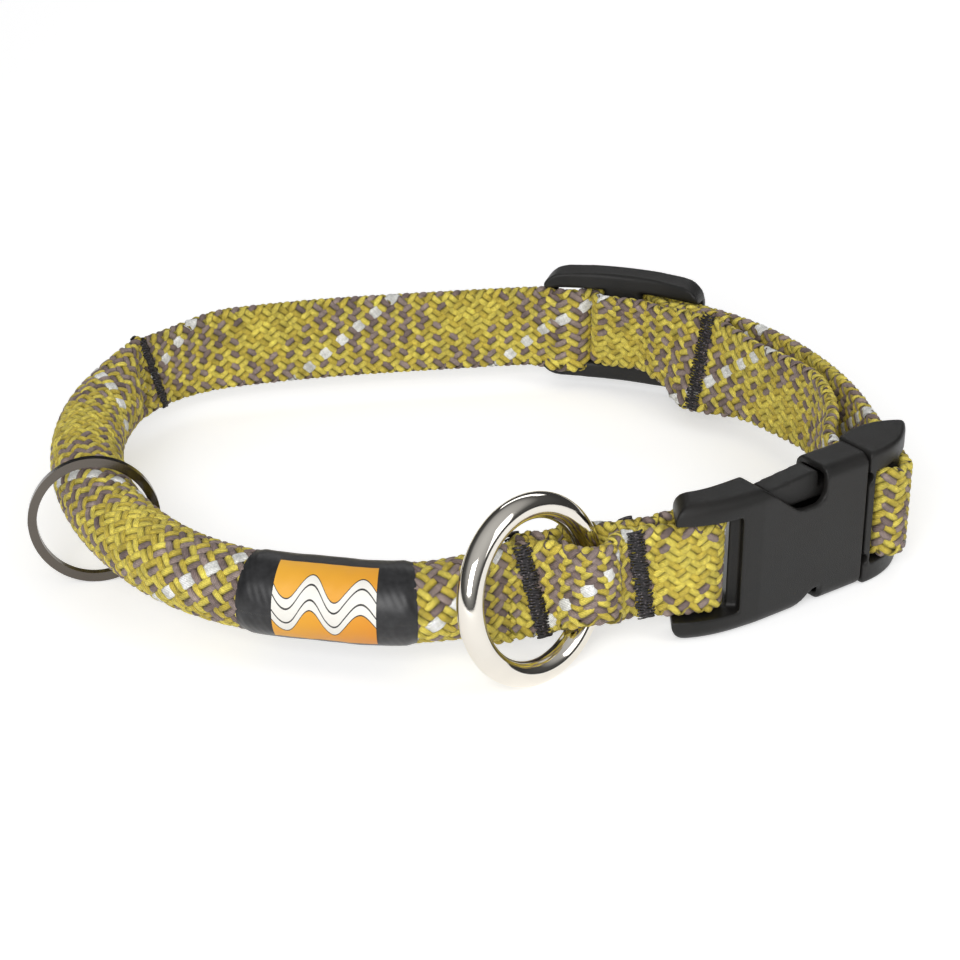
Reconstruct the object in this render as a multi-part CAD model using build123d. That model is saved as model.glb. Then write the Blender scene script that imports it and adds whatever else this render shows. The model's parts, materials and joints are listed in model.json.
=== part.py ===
"""Adjustable rope dog collar with a side-release buckle and a tri-glide slider.

The closed collar stands on its lower edge.  Plan view: X runs along the collar's length, Y from the
front to the back, Z up.  A tubular braid is round over its core at the front and left, and flat without
it elsewhere.  All lengths are in millimetres and all angles in degrees.
"""
from build123d import *
import math
import os

os.makedirs("parts", exist_ok=True)

# ---------------------------------------------------------------- driving dimensions
# braid
STRAP_WIDTH = 18.8            # flat sheath, measured along Z
STRAP_THICKNESS = 2.6
STRAP_EDGE_RADIUS = 1.1
ROPE_DIAMETER = 14.6
CORE_DIAMETER = 9.8
SHEATH_GAP = 0.15             # radial gap between core and sheath
LAYER_GAP = 0.3               # between straps that lie on each other
SIDE_GAP = 0.35               # between a strap's edge and a rail
BAR_GAP = 0.25                # between a strap and the bar that it wraps

# buckle
BUCKLE_WIDTH = 28.0           # along Z
BUCKLE_THICKNESS = 9.0
BUCKLE_HEADING = 36.0
SEAM = (69.8, -27.8)          # middle of the parting line between socket and plug
HOUSING_LENGTH = 26.0
WALL = 1.5
BUCKLE_EDGE_RADIUS = 2.4
SOCKET_END = (34.8, -49.0, 181.0)
SOCKET_WINDOW_X = 47.4        # the socket's strap slot ends here at the front
SLOT_STEP_GAP = 0.5           # behind the fold the slot ends this far from it
EAR_THICKNESS = 7.6
EAR_CORNER = 3.6              # round corners at the ears' ends
BAR_WIDTH = 5.0               # the socket's web bar, along the strap
BAR_THICKNESS = 2.6
PLUG_BAR_DIAMETER = 3.8
RUNNING_GAP = 0.35            # plug to socket

# the latch prongs
PRONG_REACH = 23.2            # from the seam to the tip
ARM_HEIGHT = 2.2
ARM_THICKNESS = 4.6
ARM_OFFSET = 8.6              # from the buckle's axis to the arm's middle
HEAD_RISE = 13.3              # from the buckle's axis to the top of the button's steep end
UPPER_TIP_RISE = 12.2         # and to the top of its tip
LOWER_TIP_RISE = 10.0
TIP_SLOPE = 5.0               # the tips rise from the arm over this length
TIP_HEIGHT = 1.4
HINGE_DEPTH = 0.2             # the prongs' roots sit in grooves of the end plate
ROOT_DIAMETER = 2.4
ROOT_GAP = 0.06
TONGUE_WIDTH = 6.0
TONGUE_LENGTH = 17.0
TONGUE_TAPER = 3.0
NOTCH_START = 10.5            # from the seam to a notch's steep end
NOTCH_GAP = 0.3               # from there to the button
UPPER_NOTCH = (6.8, 6.4, 16.5)    # a finger notch's depth, floor and length
LOWER_NOTCH = (3.4, 2.0, 8.5)
NOTCH_OPEN = 1.0              # a notch's cut starts this far outside the buckle
NOTCH_CORNER = 2.4            # at its steep end
NOTCH_SWEEP = 5.0             # where its floor meets its slope

# the plug's end plate, and its side rails in plan
FLANGE = 2.0
SHOULDER_FRONT = (79.6, -23.4)    # on the rails' front edge
SHOULDER_TIP = (81.2, -15.8)
SHOULDER_BACK = (73.4, -17.6)     # on the back edge
SHOULDER_TIP_RADIUS = 1.0
SHOULDER_EDGE_RADIUS = 0.9

# slider
SLIDER_LENGTH = 36.0
SLIDER_RAIL = 3.1             # along Z, at the rails' ends
SLIDER_BOW = 0.9              # the rails are this much higher at their middle
SLIDER_CORNER = 5.0
SLIDER_THICKNESS = 6.0
SLIDER_EDGE_RADIUS = 1.0
SLIDER_OUT = -0.9             # the middle bar beside the middle line
SLIDER_END_THICKNESS = 2.0
SLIDER_INSET = 0.3            # the end bars lie below the rails' outer face
SLIDER_END_BAR = 3.4          # along the strap
SLIDER_MIDDLE_BAR = 8.8
SLIDER_BAR_THICKNESS = 2.4
SLIDER_GATHER = 2.2           # the strap's lower edge is gathered up by this much in the slider
GATHER_SLOPE = 4.0            # and comes down again over this length

# rings, sleeve and stitching
POCKET_OUTER = 7.8            # how far the outer front layer arches round the leash ring
POCKET_INNER = 4.5            # and the inner one
POCKET_TOP = 8.3              # the layers' edges there, from the middle line up
POCKET_BOTTOM = 5.2           # and down
LEASH_RING_AT = 20.2
LEASH_RING_OUT = 0.3
LEASH_RING_HEADING = 225.0    # from the limb in the pocket to the ring's middle
LEASH_RING_LEAN = 12.0
FOLD_TO = 3.5                 # the fold round a bar runs this far along the strap
INNER_LAYER_END = 34.8
LOOP_INNER = -7.4             # the sewn loop's inner layer beside the middle line, at its tack
LOOP_TAIL = 3.4               # the loop runs on past its tack
LOOP_MEETS = 14.0             # from the slider's middle to where the loop's layers meet
LOOP_MEETING = -0.4
PLUG_FOLD_TURN = 150.0
INNER_STATIONS = [
    (67.9, -12.8, 97.0),
    (69.8, -0.9, 84.0),
    (69.3, 12.3, 99.0),
    (62.5, 24.9, 128.0),
]
TAG_RING_OUT = 2.4            # the ring's middle beside the rope's
TAG_RING_SWING = -16.0
TAG_RING_LEAN = 7.0
TAG_RING_COIL = 0.85          # thickness of one turn of the split ring
TAG_RING_PITCH = 0.9
LABEL_TILT = 27.0             # the label looks up from the level
LEASH_RING_BORE = 25.4
LEASH_RING_WIRE = 4.8
TAG_RING_DIAMETER = 25.0
TAG_RING_WIRE = 1.7
SLEEVE_LENGTH = 29.5
SLEEVE_WALL = 0.25
SLEEVE_GAP = 0.05
LABEL_LENGTH = 17.5
LABEL_THICKNESS = 0.2
LABEL_HALF_ANGLE = 68.0
TACK_WIDTH = 2.6
TACK_THICKNESS = 0.5
TACK_GAP = 0.08

# the collar's middle line in plan, from the socket's web bar clockwise: x, y, heading
STATIONS = [
    (39.3, -46.6, 194.1),     # the socket's web bar
    (-3.1, -60.1, 200.5),     # where the rope leaves the front strap
    (-22.4, -61.6, 168.2),
    (-32.3, -59.7, 169.8),
    (-60.3, -43.3, 129.9),
    (-72.4, 32.5, 65.0),      # left end of the loop
    (-53.0, 49.4, 16.9),
    (6.4, 60.5, 7.7),         # start of the slider's bend
    (41.1, 54.7, -26.7),
    (66.4, 30.4, -60.8),
    (76.2, 2.0, -81.0),
    (80.6, -23.7, -81.0),     # tangent to the plug's web bar
]
# places along that line, from the socket's web bar
TACK_2_AT = 11.5
TACK_1_AT = 32.0
FRONT_STRAP_END = 36.0
ROUND_FROM = 47.0
SLEEVE_AT = 68.0
TAG_RING_AT = 127.0
ROUND_TO = 178.0
TACK_3_AT = 192.5
FLAT_FROM = 190.0
ADJUSTING_FROM = 225.0
SLIDER_AT = 301.0
TACK_4_AT = 324.4

MID = BUCKLE_WIDTH / 2        # height of the middle line above the floor
ROUND_END = 0.01              # keeps a sliver of flat on a bar with round edges
PAST = 1.0                    # cuts and sunk ends run on this far
ROOM = 30.0                   # cuts through a whole piece reach this far


# ---------------------------------------------------------------- tracks: chains of tangent arcs
def unit(heading):
    a = math.radians(heading)
    return math.cos(a), math.sin(a)


def turn_between(h0, h1):
    return (h1 - h0 + 180) % 360 - 180


def biarc_joint(k0, k1):
    """The knot between two tangent arcs that join knot k0 to knot k1."""
    (x0, y0, h0), (x1, y1, h1) = k0, k1
    t0, t1 = unit(h0), unit(h1)
    v = (x1 - x0, y1 - y0)
    v_v = v[0] ** 2 + v[1] ** 2
    v_t = v[0] * (t0[0] + t1[0]) + v[1] * (t0[1] + t1[1])
    bend = 2 * (1 - t0[0] * t1[0] - t0[1] * t1[1])
    if bend < 1e-9:
        d = v_v / (2 * v_t)
    else:
        d = (math.sqrt(v_t**2 + bend * v_v) - v_t) / bend
    xm = (x0 + x1 + d * (t0[0] - t1[0])) / 2
    ym = (y0 + y1 + d * (t0[1] - t1[1])) / 2
    chord = math.degrees(math.atan2(ym - y0, xm - x0))
    return xm, ym, h0 + 2 * turn_between(h0, chord)


class Track:
    """A line in plan made of tangent arcs; each knot is (x, y, heading)."""

    def __init__(self, knots):
        self.knots = knots
        self.starts = [0.0]
        for a, b in zip(knots, knots[1:]):
            chord = math.hypot(b[0] - a[0], b[1] - a[1])
            half = math.radians(abs(turn_between(a[2], b[2]))) / 2
            self.starts.append(self.starts[-1] + (chord if half < 1e-6 else chord * half / math.sin(half)))

    @property
    def length(self):
        return self.starts[-1]

    def at(self, s):
        """The knot at distance s along the track."""
        i = 0
        while i < len(self.knots) - 2 and s > self.starts[i + 1]:
            i += 1
        x, y, h = self.knots[i]
        span = self.starts[i + 1] - self.starts[i]
        along = s - self.starts[i]
        turn = turn_between(h, self.knots[i + 1][2]) * along / span
        half = math.radians(abs(turn)) / 2
        chord = along if half < 1e-6 else along * math.sin(half) / half
        dx, dy = unit(h + turn / 2)
        return x + chord * dx, y + chord * dy, h + turn

    def part(self, s0, s1):
        inner = [k for k, s in zip(self.knots, self.starts) if s0 + 1e-3 < s < s1 - 1e-3]
        return Track([self.at(s0)] + inner + [self.at(s1)])

    def beside(self, s, offset, swing=0.0):
        """A knot beside the track: offset is positive towards the collar's outside."""
        x, y, h = self.at(s)
        dx, dy = unit(h + 90)
        return x + offset * dx, y + offset * dy, h + swing

    def offset(self, d):
        moved = []
        for x, y, h in self.knots:
            dx, dy = unit(h + 90)
            moved.append((x + d * dx, y + d * dy, h))
        return Track(moved)

    def wire(self):
        edges = []
        for a, b in zip(self.knots, self.knots[1:]):
            start, end = (a[0], a[1], MID), (b[0], b[1], MID)
            if abs(turn_between(a[2], b[2])) < 1e-3:
                edges.append(Edge.make_line(start, end))
            else:
                edges.append(Edge.make_tangent_arc(start, (*unit(a[2]), 0), end))
        return Wire(edges)


def through(stations):
    """A track through the stations, two tangent arcs between each pair."""
    knots = [stations[0]]
    for a, b in zip(stations, stations[1:]):
        knots.append(biarc_joint(a, b))
        knots.append(b)
    return Track(knots)


# ---------------------------------------------------------------- building blocks
def frame_at(knot, z=MID):
    """A plane across the track: its x points outwards and its y up."""
    x, y, h = knot
    return Plane(origin=(x, y, z), x_dir=(*unit(h + 90), 0), z_dir=(*unit(h), 0))


def strap(track, width=STRAP_WIDTH):
    """A flat braided strap along a track, its long edges rounded."""
    section = frame_at(track.knots[0]) * RectangleRounded(STRAP_THICKNESS, width, STRAP_EDGE_RADIUS)
    return sweep(section, path=track.wire())


def rod(track, diameter, bore=0.0):
    """A round bar or tube along a track."""
    section = Circle(diameter / 2)
    if bore:
        section -= Circle(bore / 2)
    return sweep(frame_at(track.knots[0]) * section, path=track.wire())


def block(plane, x, y, z):
    """A box from (low, high) pairs along a plane's x, y and z."""
    box = Box(x[1] - x[0], y[1] - y[0], z[1] - z[0])
    return plane * Pos((x[0] + x[1]) / 2, (y[0] + y[1]) / 2, (z[0] + z[1]) / 2) * box


def tack(knot, stack, width):
    """A dense bar of stitching round a stack of straps."""
    plane = frame_at(knot)
    inner = (stack / 2 + TACK_GAP, width / 2 + TACK_GAP)
    outer = (inner[0] + TACK_THICKNESS, inner[1] + TACK_THICKNESS)
    half = TACK_WIDTH / 2
    band = block(plane, (-outer[0], outer[0]), (-outer[1], outer[1]), (-half, half))
    band = fillet(band.edges().filter_by(Axis(plane.origin, plane.z_dir)), TACK_THICKNESS * 0.9)
    return band - block(plane, (-inner[0], inner[0]), (-inner[1], inner[1]), (-half - PAST, half + PAST))


def taper(track, flat_offset):
    """The stretch where the round rope becomes a flat strap."""
    sections = []
    steps = 3
    for i in range(steps + 1):
        f = i / steps
        ease = f * f * (3 - 2 * f)
        half_width = ROPE_DIAMETER / 2 + (STRAP_WIDTH / 2 - ROPE_DIAMETER / 2) * ease
        half_thick = ROPE_DIAMETER / 2 + (STRAP_THICKNESS / 2 - ROPE_DIAMETER / 2) * ease
        knot = track.beside(track.length * f, flat_offset * ease)
        sections.append(frame_at(knot) * Ellipse(half_thick, half_width))
    return loft(sections)


# ---------------------------------------------------------------- shared lines and places
main = through(STATIONS)
layer = STRAP_THICKNESS + LAYER_GAP              # pitch of two straps on each other
wrap = BAR_THICKNESS / 2 + BAR_GAP + STRAP_THICKNESS / 2
window = STRAP_WIDTH + 2 * SIDE_GAP
pieces = {}


def join(*tracks):
    """One track from several that follow each other."""
    knots = list(tracks[0].knots)
    for track in tracks[1:]:
        knots += track.knots[1:]
    return Track(knots)


def moved(knot, along, out, swing=0.0):
    """A knot moved along its heading and outwards."""
    x, y, h = knot
    a, b = unit(h), unit(h + 90)
    return x + along * a[0] + out * b[0], y + along * a[1] + out * b[1], h + swing


def u_turn(centre, radius, start, turn):
    """Knots of a round bend about a centre; it starts with a heading and turns left if turn is positive."""
    side = -90 if turn > 0 else 90
    steps = math.ceil(abs(turn) / 90)
    knots = []
    for i in range(steps + 1):
        h = start + turn * i / steps
        dx, dy = unit(h + side)
        knots.append((centre[0] + radius * dx, centre[1] + radius * dy, h))
    return knots


bar_bend = (BAR_WIDTH - BAR_THICKNESS) / 2
plug_wrap = PLUG_BAR_DIAMETER / 2 + BAR_GAP + STRAP_THICKNESS / 2
plug_bar = main.beside(main.length, -plug_wrap)
slider_wrap = SLIDER_BAR_THICKNESS / 2 + BAR_GAP + STRAP_THICKNESS / 2
slider_bar = main.beside(SLIDER_AT, SLIDER_OUT)
slider_bend = (SLIDER_MIDDLE_BAR - SLIDER_BAR_THICKNESS) / 2
slider_hump = SLIDER_OUT + slider_wrap + layer + BAR_GAP / 2
seam = (*SEAM, BUCKLE_HEADING)


# ---------------------------------------------------------------- rope, straps and stitching
def build_rope():
    tube = rod(main.part(ROUND_FROM, ROUND_TO), ROPE_DIAMETER, CORE_DIAMETER + 2 * SHEATH_GAP)
    front = Track([main.beside(ROUND_FROM, 0, 180), main.beside(FRONT_STRAP_END, 0, 180)])
    back = Track([main.at(ROUND_TO), main.at(FLAT_FROM)])
    pieces["braided_sheath"] = tube + taper(front, -layer / 2) + taper(back, 0)
    inside = main.part(ROUND_FROM + SHEATH_GAP, ROUND_TO - SHEATH_GAP)
    pieces["rope_core"] = rod(inside, CORE_DIAMETER)


def pocket_waist(start, end):
    """A plate whose outline narrows the front layers between their tacks."""
    x, y, h = main.at((start + end) / 2)
    dx, dy = unit(h)
    half, edge = (end - start) / 2 + PAST, STRAP_WIDTH / 2 + LAYER_GAP
    top = ThreePointArc((-half, edge), (0, POCKET_TOP), (half, edge))
    bottom = ThreePointArc((half, -edge), (0, -POCKET_BOTTOM), (-half, -edge))
    face = make_face([top, Line(top @ 1, bottom @ 0), bottom, Line(bottom @ 1, top @ 0)])
    plane = Plane((x, y, MID), x_dir=(dx, dy, 0), z_dir=(dy, -dx, 0))
    return plane * extrude(face, POCKET_OUTER * 2, both=True)


def front_layer(side, bulge, last):
    """One of the two front layers, arched round the leash ring between the tacks."""
    rest = side * layer / 2
    start = TACK_2_AT + TACK_WIDTH / 2
    end = TACK_1_AT - TACK_WIDTH / 2
    lead = through([
        main.beside(FOLD_TO, side * wrap),
        main.beside(TACK_2_AT - TACK_WIDTH / 2, rest),
        main.beside(start, rest),
    ])
    arch = through([lead.knots[-1], main.beside((start + end) / 2, side * bulge), main.beside(end, rest)])
    tail = through([arch.knots[-1], main.beside(last, rest)])
    return strap(lead) + (strap(arch) & pocket_waist(start, end)) + strap(tail)


def build_front_strap():
    pieces["front_strap_outer"] = front_layer(1, POCKET_OUTER, FRONT_STRAP_END)
    pieces["front_strap_inner"] = front_layer(-1, POCKET_INNER, INNER_LAYER_END)
    bar = main.at(0)
    centre = moved(bar, -bar_bend, 0)
    bend_knots = u_turn(centre, wrap, bar[2] + 180, 180)
    first = through([main.beside(FOLD_TO, wrap, 180), bend_knots[0]])
    last = through([bend_knots[-1], main.beside(FOLD_TO, -wrap, 360)])
    pieces["socket_fold"] = strap(join(first, Track(bend_knots), last))
    both = STRAP_THICKNESS + layer
    pieces["bar_tack_1"] = tack(main.at(TACK_1_AT), both, STRAP_WIDTH)
    pieces["bar_tack_2"] = tack(main.at(TACK_2_AT), both, STRAP_WIDTH)
    pieces["bar_tack_3"] = tack(main.at(TACK_3_AT), STRAP_THICKNESS, STRAP_WIDTH)


def slider_plane():
    """The slider's side view: x runs along the strap and y up from its middle line."""
    x, y, h = slider_bar
    dx, dy = unit(h)
    return Plane((x, y, MID), x_dir=(dx, dy, 0), z_dir=(dy, -dx, 0))


def gather():
    """What the slider's lower rail pushes up: cut off the straps' lower edges."""
    edge = STRAP_WIDTH / 2
    near = SLIDER_LENGTH / 2 + SIDE_GAP
    far = near + GATHER_SLOPE
    low = -edge - PAST
    points = [(-far, low), (-far, -edge), (-near, SLIDER_GATHER - edge), (near, SLIDER_GATHER - edge),
              (far, -edge), (far, low)]
    face = make_face(Polyline(*points, close=True).edges())
    return slider_plane() * extrude(face, ROOM, both=True)


def build_back_strap():
    pieces["back_strap"] = strap(main.part(FLAT_FROM + SHEATH_GAP, ADJUSTING_FROM))
    reach = SLIDER_LENGTH / 2 - SLIDER_END_BAR / 2
    before, after = SLIDER_AT - reach, SLIDER_AT + reach
    over = through([
        main.at(before),
        main.beside(SLIDER_AT - slider_bend, slider_hump),
        main.beside(SLIDER_AT + slider_bend, slider_hump),
        main.at(after),
    ])
    whole = join(main.part(ADJUSTING_FROM, before), over, main.part(after, main.length))
    pieces["outer_strap"] = strap(whole) - gather()
    bends = u_turn(plug_bar, plug_wrap, main.at(main.length)[2], -PLUG_FOLD_TURN)
    pieces["plug_fold"] = strap(Track(bends))
    top = main.beside(TACK_4_AT + LOOP_TAIL, LOOP_INNER, 180)
    back = through([bends[-1]] + INNER_STATIONS + [top])
    pieces["inner_strap"] = strap(back)


def build_end_loop():
    centre = moved(slider_bar, -slider_bend, 0)
    bends = u_turn(centre, slider_wrap, slider_bar[2] + 180, 180)
    outer = through([
        main.beside(TACK_4_AT + LOOP_TAIL, LOOP_INNER + layer, 180),
        main.beside(TACK_4_AT - TACK_WIDTH, LOOP_INNER + layer, 180),
        main.beside(SLIDER_AT + LOOP_MEETS, LOOP_MEETING - layer, 180),
        moved(slider_bar, slider_bend, slider_wrap, 180),
        bends[0],
    ])
    inner = through([
        bends[-1],
        moved(slider_bar, slider_bend, -slider_wrap),
        main.beside(SLIDER_AT + LOOP_MEETS, LOOP_MEETING - 2 * layer),
        main.beside(TACK_4_AT - TACK_WIDTH, LOOP_INNER),
        main.beside(TACK_4_AT + LOOP_TAIL, LOOP_INNER),
    ])
    pieces["end_loop"] = strap(join(outer, Track(bends), inner)) - gather()
    middle = main.beside(TACK_4_AT, LOOP_INNER + layer / 2)
    pieces["bar_tack_4"] = tack(middle, STRAP_THICKNESS + layer, STRAP_WIDTH)


# ---------------------------------------------------------------- sleeve, label and rings
def build_sleeve():
    half = SLEEVE_LENGTH / 2
    bore = ROPE_DIAMETER + 2 * SLEEVE_GAP
    outside = bore + 2 * SLEEVE_WALL
    pieces["satin_sleeve"] = rod(main.part(SLEEVE_AT - half, SLEEVE_AT + half), outside, bore)
    label = main.part(SLEEVE_AT - LABEL_LENGTH / 2, SLEEVE_AT + LABEL_LENGTH / 2)
    low = LABEL_TILT - LABEL_HALF_ANGLE
    inner, outer = outside / 2 + SLEEVE_GAP, outside / 2 + SLEEVE_GAP + LABEL_THICKNESS
    band = CenterArc((0, 0), outer, low, 2 * LABEL_HALF_ANGLE)
    back = CenterArc((0, 0), inner, low, 2 * LABEL_HALF_ANGLE)
    outline = Wire([band, Line(band @ 1, back @ 1), back, Line(back @ 0, band @ 0)])
    pieces["label_panel"] = sweep(frame_at(label.knots[0]) * make_face(outline.edges()), path=label.wire())


def build_rings():
    radius = (LEASH_RING_BORE + LEASH_RING_WIRE) / 2
    limb = main.beside(LEASH_RING_AT, LEASH_RING_OUT)
    dx, dy = unit(LEASH_RING_HEADING)
    lean = math.radians(LEASH_RING_LEAN)
    height = radius * math.cos(lean) + LEASH_RING_WIRE / 2
    centre = (limb[0] + radius * dx, limb[1] + radius * dy, height)
    normal = (-dy * math.cos(lean), dx * math.cos(lean), math.sin(lean))
    ring_plane = Plane(centre, x_dir=(dx, dy, 0), z_dir=normal)
    pieces["leash_ring"] = ring_plane * Torus(radius, LEASH_RING_WIRE / 2)

    x, y, h = main.beside(TAG_RING_AT, TAG_RING_OUT)
    face = Plane((x, y, TAG_RING_DIAMETER / 2), x_dir=(*unit(h + 90 + TAG_RING_SWING), 0),
                 z_dir=(*unit(h + TAG_RING_SWING), 0))
    face = face * Rot(TAG_RING_LEAN, 0, 0)
    mean = (TAG_RING_DIAMETER - TAG_RING_WIRE) / 2
    coil = Helix(TAG_RING_PITCH, 2 * TAG_RING_PITCH, mean)
    section = Plane(coil @ 0, x_dir=(1, 0, 0), z_dir=(0, 1, 0)) * Rectangle(TAG_RING_WIRE, TAG_RING_COIL)
    ring = Pos(0, 0, -TAG_RING_PITCH) * sweep(section, path=coil, is_frenet=True)
    pieces["tag_ring"] = face * ring


# ---------------------------------------------------------------- buckle
def shell_section(knot, thickness):
    return frame_at(knot) * RectangleRounded(thickness, BUCKLE_WIDTH, BUCKLE_EDGE_RADIUS)


def rails(track, thick_start, thick_end):
    """A curved shell along a track, thinner towards its end."""
    sections = []
    for i in range(4):
        f = i / 3
        thickness = thick_start + (thick_end - thick_start) * f
        sections.append(shell_section(track.at(track.length * f), thickness))
    return loft(sections)


def side_view(points, radii, thickness):
    """A plate drawn in the buckle's side view: along the buckle and up from its axis."""
    face = make_face(Polyline(*points, close=True).edges())
    for (along, up), radius in zip(points, radii):
        if radius:
            corner = face.vertices().sort_by_distance((along, up, 0))[0]
            face = fillet(corner, radius)
    dx, dy = unit(BUCKLE_HEADING)
    plane = Plane((*SEAM, MID), x_dir=(dx, dy, 0), z_dir=(dy, -dx, 0))
    return plane * extrude(face, thickness / 2, both=True)


def notch(up, depth, floor, length):
    """The finger notch above (up is 1) or below (up is -1) the socket."""
    edge = BUCKLE_WIDTH / 2
    points = [
        (-NOTCH_START, up * (edge + NOTCH_OPEN)),
        (-NOTCH_START, up * (edge - depth)),
        (-NOTCH_START - floor, up * (edge - depth)),
        (-NOTCH_START - length, up * (edge + NOTCH_OPEN)),
    ]
    share = min(1, floor / (NOTCH_CORNER + NOTCH_SWEEP / 2))
    return side_view(points, (0, NOTCH_CORNER * share, NOTCH_SWEEP * share, 0), BUCKLE_THICKNESS + 2 * PAST)


def build_socket():
    start = moved(seam, -HOUSING_LENGTH, 0)
    housing = loft([shell_section(seam, BUCKLE_THICKNESS), shell_section(start, BUCKLE_THICKNESS)])
    back = (start[0], start[1], BUCKLE_HEADING + 180)
    ear_track = through([back, SOCKET_END])
    body = housing + rails(ear_track, BUCKLE_THICKNESS, EAR_THICKNESS)

    bar = main.at(0)
    half = window / 2
    front = Plane((SOCKET_WINDOW_X, bar[1], MID), x_dir=(0, 1, 0), z_dir=(1, 0, 0))
    body -= block(front, (-ROOM, 0), (-half, half), (-ROOM, 0))
    fold_end = bar[0] + bar_bend + wrap + STRAP_THICKNESS / 2 + SLOT_STEP_GAP
    body -= block(front, (0, ROOM), (-half, half), (-ROOM, fold_end - SOCKET_WINDOW_X))
    foot = Plane((bar[0], bar[1], MID - half - PAST), x_dir=(*unit(bar[2]), 0), z_dir=(0, 0, 1))
    web = RectangleRounded(BAR_WIDTH, BAR_THICKNESS, BAR_THICKNESS / 2 - ROUND_END)
    body += extrude(foot * web, window + 2 * PAST)

    inside = frame_at(seam)
    cavity = BUCKLE_THICKNESS / 2 - WALL
    tall = BUCKLE_WIDTH / 2 - WALL
    body -= block(inside, (-cavity, cavity), (-tall, tall), (WALL - HOUSING_LENGTH, PAST))
    body -= notch(1, *UPPER_NOTCH)
    body -= notch(-1, *LOWER_NOTCH)
    side = Plane((SOCKET_END[0] + ROOM, SOCKET_END[1], MID), x_dir=(1, 0, 0), z_dir=(0, -1, 0))
    outline = side * RectangleRounded(2 * ROOM, BUCKLE_WIDTH, EAR_CORNER)
    pieces["socket_half"] = body & extrude(outline, ROOM, both=True)


def shoulder(slot):
    """The plug's outer form, slotted for the strap: a curved fin in plan, as high as the socket."""
    front = moved(seam, RUNNING_GAP, -BUCKLE_THICKNESS / 2)[:2]
    back = moved(seam, RUNNING_GAP, BUCKLE_THICKNESS / 2)[:2]
    outer = ThreePointArc(front, SHOULDER_FRONT, SHOULDER_TIP)
    inner = ThreePointArc(SHOULDER_TIP, SHOULDER_BACK, back)
    face = make_face([outer, inner, Line(back, front)])
    tip = face.vertices().sort_by_distance((*SHOULDER_TIP, 0))[0]
    solid = extrude(fillet(tip, SHOULDER_TIP_RADIUS), BUCKLE_WIDTH) - slot
    rims = solid.faces().sort_by(Axis.Z)
    return fillet(rims[0].edges() + rims[-1].edges(), SHOULDER_EDGE_RADIUS)


def build_plug():
    inside = frame_at(seam)
    half = window / 2
    body = shoulder(block(inside, (-ROOM, ROOM), (-half, half), (FLANGE, ROOM)))
    body += Pos(plug_bar[0], plug_bar[1], MID) * Cylinder(PLUG_BAR_DIAMETER / 2, window + 2 * PAST)
    for up in (1, -1):
        groove = inside * Pos(0, up * ARM_OFFSET, HINGE_DEPTH) * Rot(0, 90, 0)
        body -= groove * Cylinder(ROOT_DIAMETER / 2 + ROOT_GAP, BUCKLE_THICKNESS + 2 * PAST)
    pieces["plug_base"] = body

    wide = TONGUE_WIDTH / 2
    tip = wide / 2
    tongue = [
        (RUNNING_GAP, wide),
        (TONGUE_TAPER - TONGUE_LENGTH, wide),
        (-TONGUE_LENGTH, tip),
        (-TONGUE_LENGTH, -tip),
        (TONGUE_TAPER - TONGUE_LENGTH, -wide),
        (RUNNING_GAP, -wide),
    ]
    pieces["guide_tongue"] = side_view(tongue, (0, 1.5, 0.8, 0.8, 1.5, 0), ARM_THICKNESS)

    for up, name, tip_rise in ((1, "upper_prong", UPPER_TIP_RISE), (-1, "lower_prong", LOWER_TIP_RISE)):
        steep = -NOTCH_START - NOTCH_GAP
        low, high = ARM_OFFSET - ARM_HEIGHT / 2, ARM_OFFSET + ARM_HEIGHT / 2
        prong = [
            (HINGE_DEPTH, up * low),
            (TIP_SLOPE - PRONG_REACH, up * low),
            (-PRONG_REACH, up * (tip_rise - TIP_HEIGHT)),
            (-PRONG_REACH, up * tip_rise),
            (steep, up * HEAD_RISE),
            (steep, up * high),
            (HINGE_DEPTH, up * high),
        ]
        arm = side_view(prong, (0, 2.0, 0.5, 0.5, 1.2, 0.6, 0), ARM_THICKNESS)
        root = inside * Pos(0, up * ARM_OFFSET, HINGE_DEPTH) * Rot(0, 90, 0)
        pieces[name] = arm + root * Cylinder(ROOT_DIAMETER / 2, ARM_THICKNESS)


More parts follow.
